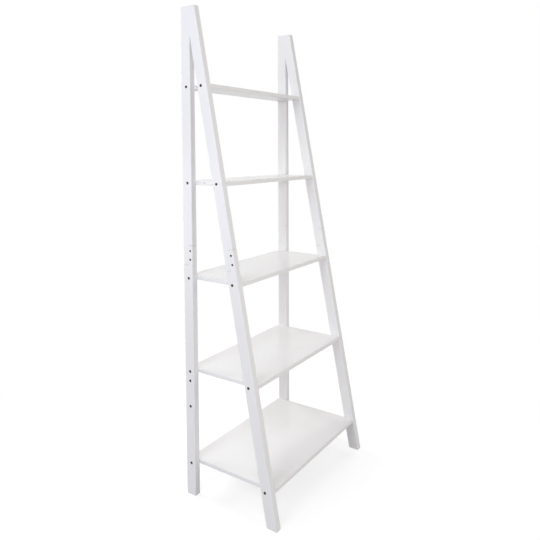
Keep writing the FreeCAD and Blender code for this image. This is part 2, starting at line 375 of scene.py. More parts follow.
def joined_copy(node_name):
    """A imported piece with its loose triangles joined, and its true normals kept beside them."""
    source = nodes[node_name].data.copy()
    normals = [tuple(corner.vector) for corner in source.corner_normals]
    add_attribute(source, "true_normal", "FLOAT_VECTOR", "CORNER", normals)
    shape = bmesh.new()
    shape.from_mesh(source)
    bpy.data.meshes.remove(source)
    bmesh.ops.remove_doubles(shape, verts=shape.verts, dist=WELD)
    return shape


def ease_shoulders(shape, own):
    """Takes the sharp edge off the shoulders of a lap, which leaves a hairline groove at the seam."""
    turn = own.to_3x3()

    def is_shoulder(face):
        level = face.calc_center_median().z
        return abs((turn @ face.normal).z) > FACING and LAP_ZONE[0] < level < LAP_ZONE[1]

    def is_outside(face):
        centre = face.calc_center_median()
        return min(depths_in_leg(centre, own @ centre)) < LEG_ARRIS

    edges = []
    for edge in shape.edges:
        if len(edge.link_faces) == 2:
            first, second = edge.link_faces
            for shoulder, other in ((first, second), (second, first)):
                if is_shoulder(shoulder) and not is_shoulder(other) and is_outside(other):
                    edges.append(edge)
    made = bmesh.ops.bevel(
        shape, geom=edges, offset=SEAM, offset_type="OFFSET", segments=1, affect="EDGES")
    normals = shape.loops.layers.float_vector["true_normal"]
    for face in made["faces"]:
        face.normal_update()
        for loop in face.loops:
            loop[normals] = face.normal
    return set(made["faces"])


print("a seam is eased by", SEAM, "m")

# %% Make the eight leg lengths
def mesh_with_normals(shape, name):
    """Turns the worked shape into a mesh that shades by its true normals."""
    mesh = bpy.data.meshes.new(name)
    shape.to_mesh(mesh)
    shape.free()
    if "custom_normal" in mesh.attributes:
        mesh.attributes.remove(mesh.attributes["custom_normal"])
    true_normals = [tuple(corner.vector) for corner in mesh.attributes["true_normal"].data]
    mesh.attributes.remove(mesh.attributes["true_normal"])
    mesh.normals_split_custom_set(true_normals)
    return mesh


def painted_leg(node_name, kind):
    """A joined-up copy of a packed leg, with its holes bare and its grain directions written down."""
    shape = joined_copy(node_name)
    own = LEG_FRAMES[kind].inverted()
    turn = own.to_3x3()
    eased = ease_shoulders(shape, own)
    rounded = []
    seam = []
    for face in shape.faces:
        face.smooth = True
        centre = face.calc_center_median()
        own_normal = turn @ face.normal
        drilled = face not in eased and is_drilled(centre, face.normal, own @ centre, own_normal)
        face.material_index = 1 if drilled else 0
        rounded.append(0.0 if drilled else float(is_rounded(own_normal)))
        seam.append(float(face in eased))
    mesh = mesh_with_normals(shape, node_name + "_painted")
    mesh.materials.append(painted_timber)
    mesh.materials.append(timber_and_hole_shade)
    directions = [own @ vertex.co for vertex in mesh.vertices]
    add_attribute(mesh, "along_grain", "FLOAT_VECTOR", "POINT", directions)
    add_attribute(mesh, "arris", "FLOAT", "FACE", rounded)
    add_attribute(mesh, "seam", "FLOAT", "FACE", seam)
    piece = bpy.data.objects.new(mesh.name, mesh)
    bpy.context.collection.objects.link(piece)
    bare = sum(face.material_index for face in mesh.polygons)
    kept = "normals kept" if mesh.has_custom_normals else "normals lost"
    print(f"{piece.name}: {len(mesh.polygons)} faces, {bare} bare, {kept}")
    print(f"  {int(sum(rounded))} rounded, {int(sum(seam))} at the lap")
    return piece


pieces = {}
for side in SIDES:
    for kind in LEG_FRAMES:
        for part in ("upper", "lower"):
            node_name = f"{side}_{kind}_leg_{part}"
            pieces[node_name] = painted_leg(node_name, kind), "painted_leg"

# %% [markdown]
# ## From a Geometry Nodes tree to a plain piece
# The boards, bolts, nuts and dowels repeat, so each kind is one Geometry Nodes tree with named sizes.
# A tree is a modifier while it works. The helpers below set its inputs, read the finished mesh off it,
# and throw the modifier away, so that what stays is a plain mesh with smooth curves and crisp corners.

# %% Helpers inside a tree
SOCKETS = {float: "NodeSocketFloat", int: "NodeSocketInt", tuple: "NodeSocketVector"}


def new_tree(name, sizes, finishes):
    """An empty tree with a named input for each size and each finish."""
    tree = bpy.data.node_groups.new(name, "GeometryNodeTree")
    tree.interface.new_socket("Geometry", in_out="INPUT", socket_type="NodeSocketGeometry")
    tree.interface.new_socket("Geometry", in_out="OUTPUT", socket_type="NodeSocketGeometry")
    for label, value in sizes.items():
        socket = tree.interface.new_socket(label, in_out="INPUT", socket_type=SOCKETS[type(value)])
        socket.default_value = value
    for label in finishes:
        tree.interface.new_socket(label, in_out="INPUT", socket_type="NodeSocketMaterial")
    return tree, tree.nodes.new("NodeGroupInput").outputs, tree.nodes.new("NodeGroupOutput").inputs


def vector_of(tree, x=0.0, y=0.0, z=0.0):
    """A vector from three numbers."""
    return add(tree, "ShaderNodeCombineXYZ", {0: x, 1: y, 2: z}).outputs[0]


def numbers_of(tree, vector):
    """The three numbers of a vector."""
    return add(tree, "ShaderNodeSeparateXYZ", {0: vector}).outputs


def carried(tree, name, kind="FLOAT_VECTOR"):
    """What the points or faces carry under a name."""
    return add(tree, "GeometryNodeInputNamedAttribute", {"Name": name}, data_type=kind).outputs[0]


def marked(tree, shape, name, value):
    """Writes a number on the faces of a shape under a name."""
    return add(tree, "GeometryNodeStoreNamedAttribute", {
        "Geometry": shape, "Name": name, "Value": value}, data_type="FLOAT", domain="FACE").outputs[0]


def index_switch(tree, index, values):
    """One value for each place in a row."""
    node = add(tree, "GeometryNodeIndexSwitch", data_type="FLOAT")
    while len(node.index_switch_items) < len(values):
        node.index_switch_items.new()
    fill(tree, node, dict(enumerate([index, *values])))
    return node.outputs[0]


print("helpers for trees ready")

# %% Helpers for shapes inside a tree
def round_bar(tree, sides, radius, depth):
    """A straight bar, round or with a few sides."""
    return add(tree, "GeometryNodeMeshCylinder", {
        "Vertices": sides, "Radius": radius, "Depth": depth}).outputs[0]


def transformed(tree, shape, **change):
    """A shape moved or turned."""
    return add(tree, "GeometryNodeTransform", {"Geometry": shape, **change}).outputs[0]


def turned_on_lathe(tree, count, heights, radii, around):
    """A closed turned shape: a straight line whose radius changes, with a circle drawn along it."""
    line = add(tree, "GeometryNodeMeshLine", {"Count": count})
    curve = add(tree, "GeometryNodeMeshToCurve", {"Mesh": line.outputs[0]})
    straight = add(tree, "GeometryNodeSetPosition", {
        "Geometry": curve.outputs[0], "Position": vector_of(tree, z=heights)})
    circle = add(tree, "GeometryNodeCurvePrimitiveCircle", {"Resolution": around, "Radius": 1.0})
    return add(tree, "GeometryNodeCurveToMesh", {
        "Curve": straight.outputs[0], "Profile Curve": circle.outputs[0],
        "Scale": radii, "Fill Caps": True,
    }).outputs[0]


def pressed_in(tree, shape, place, depth):
    """A shape whose points move towards its axis by a depth."""
    inward = vector_sum(tree, "NORMALIZE", vector_sum(tree, "MULTIPLY", place, (-1, -1, 0)))
    return add(tree, "GeometryNodeSetPosition", {
        "Geometry": shape, "Offset": scaled(tree, inward, depth)}).outputs[0]


def cut_away(tree, body, *tools):
    """A body with the shapes of some tools cut out of it."""
    cut = add(tree, "GeometryNodeMeshBoolean", {"Mesh 1": body}, operation="DIFFERENCE", solver="EXACT")
    for tool in tools:
        tree.links.new(tool, cut.inputs["Mesh 2"])
    return cut.outputs[0]


def on_points(tree, points, shape, rotation):
    """A copy of a shape on every point, turned to suit it."""
    return add(tree, "GeometryNodeInstanceOnPoints", {
        "Points": points, "Instance": shape, "Rotation": rotation}).outputs[0]


def ended(tree, result, geometry, finish):
    """The last two steps of a tree: real geometry, and its finish."""
    real = add(tree, "GeometryNodeRealizeInstances", {"Geometry": geometry})
    coated = add(tree, "GeometryNodeSetMaterial", {"Geometry": real.outputs[0], "Material": finish})
    tree.links.new(coated.outputs[0], result["Geometry"])


print("helpers for shapes ready")

# %% Helpers that run a tree
def made_by_tree(name, tree, values, points=None, directions=None):
    """Runs a tree on some points and returns what it makes as a plain piece."""
    start = bpy.data.meshes.new(name + "_start")
    start.from_pydata(points or [], [], [])
    for label, vectors in (directions or {}).items():
        add_attribute(start, label, "FLOAT_VECTOR", "POINT", vectors)
    maker = bpy.data.objects.new(name + "_maker", start)
    bpy.context.collection.objects.link(maker)
    modifier = maker.modifiers.new("tree", "NODES")
    modifier.node_group = tree
    for socket in tree.interface.items_tree:
        if socket.in_out == "INPUT" and socket.name in values:
            modifier[socket.identifier] = values[socket.name]
    graph = bpy.context.evaluated_depsgraph_get()
    mesh = bpy.data.meshes.new_from_object(maker.evaluated_get(graph))
    bpy.data.objects.remove(maker)
    bpy.data.meshes.remove(start)
    mesh.name = name
    piece = bpy.data.objects.new(name, mesh)
    bpy.context.collection.objects.link(piece)
    return piece


def crisp(piece, angle=32):
    """Smooth shading, broken at sharp edges, with flat faces kept flat beside small round ones."""
    mesh = piece.data
    mesh.shade_smooth()
    mesh.set_sharp_from_angle(angle=math.radians(angle))
    modifier = piece.modifiers.new("normals", "WEIGHTED_NORMAL")
    modifier.weight = 100
    modifier.keep_sharp = True
    graph = bpy.context.evaluated_depsgraph_get()
    evened = bpy.data.meshes.new_from_object(piece.evaluated_get(graph))
    piece.modifiers.remove(modifier)
    evened.name = mesh.name + "_mesh"
    piece.data = evened
    bpy.data.meshes.remove(mesh)


def report(piece):
    """Prints a piece's faces, and its volume, which is negative for a mesh turned inside out."""
    shape = bmesh.new()
    shape.from_mesh(piece.data)
    open_edges = sum(not edge.is_manifold for edge in shape.edges)
    volume = shape.calc_volume(signed=True) * 1e6
    print(f"{piece.name}: {len(shape.faces)} faces, {volume:.2f} cm3, {open_edges} open edges")
    shape.free()


def keep(piece, node_name, slot):
    """Shades a made piece, reports on it, and notes the node and the slot that it stands for."""
    crisp(piece)
    report(piece)
    pieces[node_name] = piece, slot


print("helpers that run a tree ready")

# %% [markdown]
# ## The boards
# The five boards follow one rule: the same width and thickness, and a front edge that keeps to the
# leaning legs. A single tree makes any of them between two corners. It takes a small gridded cube
# and moves every point: the outer rows of the grid bend round the edge, and the inner ones lie flat.
# Then the holes are cut away: bolts at the ends, barrel nuts from below, and on the two highest
# boards a small hole in each end.

# %% A block with rounded edges
BOARD = {
    "Low corner": (0.0, 0.0, 0.0), "High corner": (1.0, 1.0, 1.0), "Arris": 2 * MM,
    "Front bolt": 0.0, "Back bolt": 0.0, "Bolt hole": 3.25 * MM, "Bolt reach": 34 * MM,
    "Nut inset": 25 * MM, "Nut hole": 5.1 * MM, "Nut depth": 13.5 * MM,
    "End hole": 2 * MM, "End hole depth": 12 * MM, "End hole place": 0.0, "End hole count": 0,
}
ARRIS_STEPS = 5
GRID = 2 * ARRIS_STEPS + 2
ON_EDGE = 1.02


def rounded_block(tree, low, high, arris):
    """A block between two corners with all its edges rounded, and its rounded faces marked."""
    cube = add(tree, "GeometryNodeMeshCube", {
        "Size": (2, 2, 2), "Vertices X": GRID, "Vertices Y": GRID, "Vertices Z": GRID}).outputs[0]
    place = add(tree, "GeometryNodeInputPosition").outputs[0]
    inner = 1 / (GRID - 1)
    beyond = vector_sum(tree, "SUBTRACT", vector_sum(tree, "ABSOLUTE", place), (inner,) * 3)
    share = vector_sum(tree, "MAXIMUM", scaled(tree, beyond, 1 / (1 - inner)), (0, 0, 0))
    x, y, z = numbers_of(tree, share)
    total = sum_of(tree, "ADD", sum_of(tree, "ADD", x, y), z)
    edged = marked(tree, cube, "arris", sum_of(tree, "GREATER_THAN", total, ON_EDGE))
    sign = vector_sum(tree, "SIGN", place)
    lean_out = vector_sum(tree, "TANGENT", scaled(tree, share, math.pi / 4))
    outward = vector_sum(tree, "NORMALIZE", vector_sum(tree, "MULTIPLY", lean_out, sign))
    half = scaled(tree, vector_sum(tree, "SUBTRACT", high, low), 0.5)
    middle = scaled(tree, vector_sum(tree, "ADD", high, low), 0.5)
    radius = vector_of(tree, arris, arris, arris)
    flat_corner = vector_sum(tree, "MULTIPLY", vector_sum(tree, "SUBTRACT", half, radius), sign)
    bent = vector_sum(tree, "ADD", flat_corner, vector_sum(tree, "MULTIPLY", outward, radius))
    return add(tree, "GeometryNodeSetPosition", {
        "Geometry": edged, "Position": vector_sum(tree, "ADD", bent, middle)}).outputs[0]


print("a rounded edge has", 2 * ARRIS_STEPS, "steps")

# %% Holes at both ends of a board
HOLE_SIDES = 28
BOLTS_PER_BOARD = 4


def drills(tree, count, place, radius, depth, turn):
    """Round cutters of twice the depth, centred on the mouths of the holes."""
    bar = round_bar(tree, HOLE_SIDES, radius, sum_of(tree, "MULTIPLY", depth, 2))
    cutter = marked(tree, transformed(tree, bar, Rotation=turn), "drilled", 1.0)
    points = add(tree, "GeometryNodePoints", {"Count": count, "Position": place}).outputs[0]
    placed = on_points(tree, points, cutter, (0, 0, 0))
    return add(tree, "GeometryNodeRealizeInstances", {"Geometry": placed}).outputs[0]


def board_holes(tree, size):
    """Cutters for the bolts, for their nuts and for the end holes of a board."""
    low = numbers_of(tree, size["Low corner"])
    high = numbers_of(tree, size["High corner"])
    index = add(tree, "GeometryNodeInputIndex").outputs[0]
    odd = sum_of(tree, "FLOORED_MODULO", index, 2)
    side = sum_of(tree, "SUBTRACT", sum_of(tree, "MULTIPLY", odd, 2), 1)
    at_back = sum_of(tree, "GREATER_THAN", index, 1.5)
    step_back = sum_of(tree, "SUBTRACT", size["Back bolt"], size["Front bolt"])
    along = sum_of(tree, "ADD", size["Front bolt"], sum_of(tree, "MULTIPLY", at_back, step_back))
    middle = sum_of(tree, "MULTIPLY", sum_of(tree, "ADD", low[2], high[2]), 0.5)
    end = sum_of(tree, "MULTIPLY", side, high[0])
    nut = sum_of(tree, "MULTIPLY", side, sum_of(tree, "SUBTRACT", high[0], size["Nut inset"]))
    bolt_mouths = vector_of(tree, end, along, middle)
    nut_mouths = vector_of(tree, nut, along, low[2])
    end_mouths = vector_of(tree, end, size["End hole place"], middle)
    across = (0, math.pi / 2, 0)
    upright = (0, 0, 0)
    return [
        drills(tree, BOLTS_PER_BOARD, bolt_mouths, size["Bolt hole"], size["Bolt reach"], across),
        drills(tree, BOLTS_PER_BOARD, nut_mouths, size["Nut hole"], size["Nut depth"], upright),
        drills(tree, size["End hole count"], end_mouths, size["End hole"], size["End hole depth"], across),
    ]


print("a drilled hole has", HOLE_SIDES, "sides")

# %% A tree for a drilled board
def board_tree():
    """A rounded board with its holes drilled."""
    tree, size, result = new_tree("eased_board", BOARD, ["Lacquer", "Bare board and hole shade"])
    block = rounded_block(tree, size["Low corner"], size["High corner"], size["Arris"])
    cut = cut_away(tree, block, *board_holes(tree, size))
    real = add(tree, "GeometryNodeRealizeInstances", {"Geometry": cut}).outputs[0]
    coated = add(tree, "GeometryNodeSetMaterial", {
        "Geometry": real, "Material": size["Lacquer"]}).outputs[0]
    bare = add(tree, "GeometryNodeSetMaterial", {
        "Geometry": coated, "Material": size["Bare board and hole shade"],
        "Selection": sum_of(tree, "GREATER_THAN", carried(tree, "drilled", "FLOAT"), 0.5)})
    tree.links.new(bare.outputs[0], result["Geometry"])
    return tree


eased_board = board_tree()
print("tree:", eased_board.name, "with", len(eased_board.nodes), "nodes")

# %% Make the five boards
HEAD_RADIUS = 5 * MM
END_HOLES = {"top_shelf": 52 * MM, "upper_shelf": 82 * MM}


def bolt_line(shelf):
    """Where the front and back bolts of a board run, and their height."""
    low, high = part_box(shelf + "_bolts")
    return low.y + HEAD_RADIUS, high.y - HEAD_RADIUS, (low.z + high.z) / 2


for shelf in SHELVES:
    low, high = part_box(shelf)
    front_bolt, back_bolt, _ = bolt_line(shelf)
    values = {
        "Low corner": tuple(low), "High corner": tuple(high),
        "Front bolt": front_bolt, "Back bolt": back_bolt,
        "Lacquer": lacquered_board, "Bare board and hole shade": board_and_hole_shade,
    }
    if shelf in END_HOLES:
        values["End hole count"] = 2
        values["End hole place"] = high.y - END_HOLES[shelf]
    keep(made_by_tree(shelf + "_lacquered", eased_board, values), shelf, "painted_board")

# %% [markdown]
# ## The bolts
# A furniture bolt has a round head with a hexagon socket, a plain neck and a rolled thread. The tree
# turns the blank on a lathe and squeezes a real spiral into the shank: how far a point moves in depends
# on its height and on its angle round the axis, so that the groove climbs one pitch a turn. Then it
# presses the socket into the head. Bolts stop at any angle when they are tight, so each gets a random
# turn, from a fixed seed.

# %% A blank for a socket bolt
BOLT = {
    "Radius": 3 * MM, "Length": 50 * MM, "Head radius": HEAD_RADIUS, "Head height": 6 * MM,
    "Chamfer": 0.6 * MM, "Key": 5 * MM, "Key depth": 3 * MM, "Neck": 14 * MM,
    "Pitch": 1 * MM, "Groove": 0.5 * MM, "Rings": 200, "Seed": 7,
}
STEP = 0.01 * MM
HEAD_RINGS = 3
BOLT_SIDES = 24


def mixed(tree, factor, first, second):
    """One number where the factor is 0, and another where it is 1."""
    return add(tree, "ShaderNodeMix", {0: factor, 2: first, 3: second}, data_type="FLOAT").outputs[0]


def bolt_blank(tree, size):
    """The turned blank: a chamfered head, and a shank of many rings that ends in a chamfered tip."""
    index = add(tree, "GeometryNodeInputIndex").outputs[0]
    count = sum_of(tree, "ADD", size["Rings"], HEAD_RINGS + 2)
    top = sum_of(tree, "MULTIPLY", size["Head height"], -1)
    shoulder = sum_of(tree, "ADD", top, size["Chamfer"])
    inner = sum_of(tree, "SUBTRACT", size["Head radius"], size["Chamfer"])
    tip = sum_of(tree, "SUBTRACT", size["Length"], size["Chamfer"])
    ring = sum_of(tree, "DIVIDE", sum_of(tree, "SUBTRACT", index, HEAD_RINGS), size["Rings"])
    on_shank = sum_of(tree, "GREATER_THAN", index, HEAD_RINGS - 0.5)
    at_tip = sum_of(tree, "GREATER_THAN", index, sum_of(tree, "SUBTRACT", count, 1.5))
    shank_height = sum_of(tree, "ADD", sum_of(tree, "MULTIPLY", ring, tip), STEP)
    head_heights = index_switch(tree, index, [top, shoulder, 0.0])
    head_radii = index_switch(tree, index, [inner, size["Head radius"], size["Head radius"]])
    taper = sum_of(tree, "MULTIPLY", at_tip, size["Chamfer"])
    shank_radius = sum_of(tree, "SUBTRACT", size["Radius"], taper)
    tall = mixed(tree, on_shank, head_heights, mixed(tree, at_tip, shank_height, size["Length"]))
    wide = mixed(tree, on_shank, head_radii, shank_radius)
    return turned_on_lathe(tree, count, tall, wide, BOLT_SIDES)


print("a bolt's blank has", BOLT["Rings"], "rings")

# %% A tree for a socket bolt
def spiral_groove(tree, blank, size):
    """Squeezes a screw thread into the shank below its neck."""
    place = add(tree, "GeometryNodeInputPosition").outputs[0]
    x, y, z = numbers_of(tree, place)
    turn = sum_of(tree, "DIVIDE", sum_of(tree, "ARCTAN2", y, x), 2 * math.pi)
    turns_up = sum_of(tree, "DIVIDE", z, size["Pitch"])
    climb = sum_of(tree, "FRACT", sum_of(tree, "SUBTRACT", turns_up, turn))
    wave = sum_of(tree, "ABSOLUTE", sum_of(tree, "SUBTRACT", sum_of(tree, "MULTIPLY", climb, 2), 1))
    full_depth = sum_of(tree, "ADD", size["Neck"], size["Pitch"])
    below_neck = add(tree, "ShaderNodeMapRange", {
        "Value": z, "From Min": size["Neck"], "From Max": full_depth}).outputs[0]
    depth = sum_of(tree, "MULTIPLY", sum_of(tree, "MULTIPLY", wave, below_neck), size["Groove"])
    return pressed_in(tree, blank, place, depth)


def bolt_tree():
    """Bolts on points: a threaded blank with a hexagon socket, along each point's direction."""
    tree, size, result = new_tree("socket_bolt", BOLT, ["Coating"])
    threaded = spiral_groove(tree, bolt_blank(tree, size), size)
    key_radius = sum_of(tree, "DIVIDE", size["Key"], math.sqrt(3))
    hexagon = round_bar(tree, 6, key_radius, sum_of(tree, "MULTIPLY", size["Key depth"], 2))
    head_top = vector_of(tree, z=sum_of(tree, "MULTIPLY", size["Head height"], -1))
    bolt = cut_away(tree, threaded, transformed(tree, hexagon, Translation=head_top))
    aimed = add(tree, "FunctionNodeAlignRotationToVector", {
        "Vector": carried(tree, "direction")}, axis="Z").outputs[0]
    chance = add(tree, "FunctionNodeRandomValue", {"Seed": size["Seed"]}, data_type="FLOAT").outputs[1]
    angle = sum_of(tree, "MULTIPLY", chance, math.pi / 3)
    about = add(tree, "FunctionNodeAxisAngleToRotation", {"Axis": (0, 0, 1), "Angle": angle}).outputs[0]
    turned = add(tree, "FunctionNodeRotateRotation", {
        0: aimed, 1: about}, rotation_space="LOCAL").outputs[0]
    ended(tree, result, on_points(tree, size["Geometry"], bolt, turned), size["Coating"])
    return tree


socket_bolt = bolt_tree()
print("tree:", socket_bolt.name, "with", len(socket_bolt.nodes), "nodes")

# %% Make the shelf bolts
HEAD_SEAT = 8 * MM
seat = half_width - HEAD_SEAT
for number, shelf in enumerate(SHELVES):
    front_bolt, back_bolt, level = bolt_line(shelf)
    points = []
    ways = []
    for side in SIDES.values():
        for along in (front_bolt, back_bolt):
            points.append((side * seat, along, level))
            ways.append((-side, 0, 0))
    values = {"Coating": bronzed_steel, "Seed": number}
    bolts = made_by_tree(shelf + "_socket_bolts", socket_bolt, values, points, {"direction": ways})
    keep(bolts, shelf + "_bolts", "bolt_steel")

# %% [markdown]
# ## The bolts of the laps
# Each leg is joined from two lengths by two smaller bolts, driven in from behind. In the front legs
# they lean with the leg, so their places are worked out in the leg's own directions. The tree is the
# same one as before, with smaller sizes.

# %% Make the lap bolts
LAP_BOLT = {
    "Radius": 2.5 * MM, "Length": 30 * MM, "Head radius": 4.25 * MM, "Head height": 5 * MM,
    "Key": 4 * MM, "Key depth": 2.5 * MM, "Neck": 8 * MM,
    "Pitch": 0.8 * MM, "Groove": 0.4 * MM, "Rings": 150,
}
LAP_ABOVE_SHELF = 78 * MM
LAP_HALF_SPACING = 16 * MM
LAP_HEAD_SEAT = 6 * MM
LAP_SEED = 20
lap_height = middle_board_top + LAP_ABOVE_SHELF


def lap_places(side, kind, depth):
    """The two points of a lap at one depth in the leg."""
    level = along_leg(kind, leg_depth / 2, lap_height)
    own_points = [Vector((side * leg_middle, depth, level + step))
                  for step in (-LAP_HALF_SPACING, LAP_HALF_SPACING)]
    return [tuple(LEG_FRAMES[kind] @ point) for point in own_points]


def forward_in(kind):
    """The direction straight forward through a leg."""
    return tuple(LEG_FRAMES[kind].to_3x3() @ Vector((0, -1, 0)))


for number, (label, side) in enumerate(SIDES.items()):
    for kind in LEG_FRAMES:
        points = lap_places(side, kind, leg_depth - LAP_HEAD_SEAT)
        ways = {"direction": [forward_in(kind)] * len(points)}
        node_name = f"{label}_{kind}_lap_bolts"
        values = {**LAP_BOLT, "Coating": bronzed_steel, "Seed": LAP_SEED + number}
        bolts = made_by_tree(node_name + "_threaded", socket_bolt, values, points, ways)
        keep(bolts, node_name, "bolt_steel")

# %% [markdown]
# ## The barrel nuts
# A barrel nut is a short turned pin with a threaded hole through its side, and a slot in one end, by
# which a screwdriver lines the hole up with the bolt. One tree makes both sizes. Each nut needs two
# directions: where its slotted end looks, and where its bolt runs.

# %% A tree for a barrel nut
NUT = {
    "Radius": 5 * MM, "Length": 12 * MM, "Chamfer": 0.5 * MM, "Thread": 3.1 * MM,
    "Slot width": 1.2 * MM, "Slot depth": 1.2 * MM,
}
NUT_SIDES = 40
PIN_RINGS = 4


def nut_tree():
    """Barrel nuts on points, each with its slot and its cross hole."""
    tree, size, result = new_tree("barrel_nut", NUT, ["Plating"])
    index = add(tree, "GeometryNodeInputIndex").outputs[0]
    half = sum_of(tree, "MULTIPLY", size["Length"], 0.5)
    shoulder = sum_of(tree, "SUBTRACT", half, size["Chamfer"])
    edge = sum_of(tree, "SUBTRACT", size["Radius"], size["Chamfer"])
    low = [sum_of(tree, "MULTIPLY", item, -1) for item in (half, shoulder)]
    heights = index_switch(tree, index, [*low, shoulder, half])
    radii = index_switch(tree, index, [edge, size["Radius"], size["Radius"], edge])
    body = turned_on_lathe(tree, PIN_RINGS, heights, radii, NUT_SIDES)
    right_through = sum_of(tree, "MULTIPLY", size["Radius"], 3)
    bore = round_bar(tree, HOLE_SIDES, size["Thread"], right_through)
    crosswise = transformed(tree, bore, Rotation=(0, math.pi / 2, 0))
    twice_deep = sum_of(tree, "MULTIPLY", size["Slot depth"], 2)
    saw_size = vector_of(tree, size["Slot width"], right_through, twice_deep)
    saw = add(tree, "GeometryNodeMeshCube", {"Size": saw_size}).outputs[0]
    slot = transformed(tree, saw, Translation=vector_of(tree, z=half))
    nut = cut_away(tree, body, crosswise, slot)
    turned = add(tree, "FunctionNodeAxesToRotation", {
        0: carried(tree, "slot_looks"), 1: carried(tree, "bolt_runs"),
    }, primary_axis="Z", secondary_axis="X").outputs[0]
    ended(tree, result, on_points(tree, size["Geometry"], nut, turned), size["Plating"])
    return tree


barrel_nut = nut_tree()
print("tree:", barrel_nut.name, "with", len(barrel_nut.nodes), "nodes")

# %% Make the nuts
LAP_NUT = {"Radius": 4 * MM, "Thread": 2.6 * MM}
nut_place = board_end - BOARD["Nut inset"]


def add_nuts(node_name, sizes, points, looks, runs):
    """The nuts of one node, which all look and run the same way."""
    ways = {"slot_looks": [looks] * len(points), "bolt_runs": [runs] * len(points)}
    values = {**sizes, "Plating": zinc_plate}
    keep(made_by_tree(node_name + "_slotted", barrel_nut, values, points, ways), node_name, "nut_steel")


for shelf in SHELVES:
    front_bolt, back_bolt, level = bolt_line(shelf)
    points = []
    for side in SIDES.values():
        for along in (front_bolt, back_bolt):
            points.append((side * nut_place, along, level))
    add_nuts(shelf + "_nuts", {}, points, (0, 0, -1), (1, 0, 0))
for label, side in SIDES.items():
    for kind in LEG_FRAMES:
        points = lap_places(side, kind, leg_depth / 4)
        add_nuts(f"{label}_{kind}_lap_nuts", LAP_NUT, points, (side, 0, 0), forward_in(kind))

# %% [markdown]
# ## The dowels
# The two legs of a frame are glued together at the top, with two beech dowels across the joint.
# Bought dowels are fluted, so that glue can escape along them. Flutes are a wave round the pin, so the
# tree presses one into a turned blank.

# %% A tree for a fluted dowel
DOWEL = {"Radius": 4 * MM, "Length": 30 * MM, "Chamfer": 1 * MM, "Flutes": 16, "Flute depth": 0.3 * MM}
DOWEL_SIDES = 96


def dowel_tree():
    """Fluted dowels on points, along each point's direction."""
    tree, size, result = new_tree("fluted_dowel", DOWEL, ["Wood"])
    index = add(tree, "GeometryNodeInputIndex").outputs[0]
    end = sum_of(tree, "SUBTRACT", size["Length"], size["Chamfer"])
    edge = sum_of(tree, "SUBTRACT", size["Radius"], size["Chamfer"])
    heights = index_switch(tree, index, [0.0, size["Chamfer"], end, size["Length"]])
    radii = index_switch(tree, index, [edge, size["Radius"], size["Radius"], edge])
    blank = turned_on_lathe(tree, PIN_RINGS, heights, radii, DOWEL_SIDES)
    place = add(tree, "GeometryNodeInputPosition").outputs[0]
    x, y, _ = numbers_of(tree, place)
    angle = sum_of(tree, "MULTIPLY", sum_of(tree, "ARCTAN2", y, x), size["Flutes"])
    wave = sum_of(tree, "MULTIPLY", sum_of(tree, "COSINE", angle), 0.5)
    depth = sum_of(tree, "MULTIPLY", sum_of(tree, "ADD", wave, 0.5), size["Flute depth"])
    fluted = pressed_in(tree, blank, place, depth)
    aimed = add(tree, "FunctionNodeAlignRotationToVector", {
        "Vector": carried(tree, "direction")}, axis="Z").outputs[0]
    ended(tree, result, on_points(tree, size["Geometry"], fluted, aimed), size["Wood"])
    return tree


fluted_dowel = dowel_tree()
print("tree:", fluted_dowel.name, "with", len(fluted_dowel.nodes), "nodes")

# %% Make the dowels
for label, side in SIDES.items():
    node_name = label + "_top_dowels"
    low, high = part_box(node_name)
    levels = (low.z + DOWEL["Radius"], high.z - DOWEL["Radius"])
    points = [(side * leg_middle, low.y, level) for level in levels]
    ways = {"direction": [(0, 1, 0)] * len(points)}
    dowels = made_by_tree(label + "_fluted_dowels", fluted_dowel, {"Wood": beech}, points, ways)
    keep(dowels, node_name, "dowel_wood")

# %% [markdown]
# ## Tie the pieces to the model
# Nothing on a bookshelf moves, so every piece rides on the one body. Each stands in for the packed
# node of its own name, which is hidden.

# %% Tie every piece to its node
for node_name, (piece, slot) in pieces.items():
    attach(piece, "root")
    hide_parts(node_name)
print(len(pieces), "pieces stand for", len(nodes), "nodes")

# %% [markdown]
# ## Floor and background
# The bookshelf stands on a plain white studio sweep that has no edge. White paint on white needs
# care: the background shows as pure white to the camera and in reflections, by Light Path, while the
# light that reaches the object stays at a plain level. The floor adds just enough of its own light to
# read as white, so that the shadows of the feet still show.

# %% Floor
WHITE = (1, 1, 1, 1)
FLOOR_REACH = 30.0
FLOOR_GLOW = 0.66
SHADOW_REACH = (0.5, 1.6)


def is_watched(tree):
    """1 for a ray that the camera sends out, straight or by way of gloss or glass."""
    ray = add(tree, "ShaderNodeLightPath").outputs
    straight_or_gloss = sum_of(tree, "MAXIMUM", ray["Is Camera Ray"], ray["Is Glossy Ray"])
    return sum_of(tree, "MAXIMUM", straight_or_gloss, ray["Is Transmission Ray"])


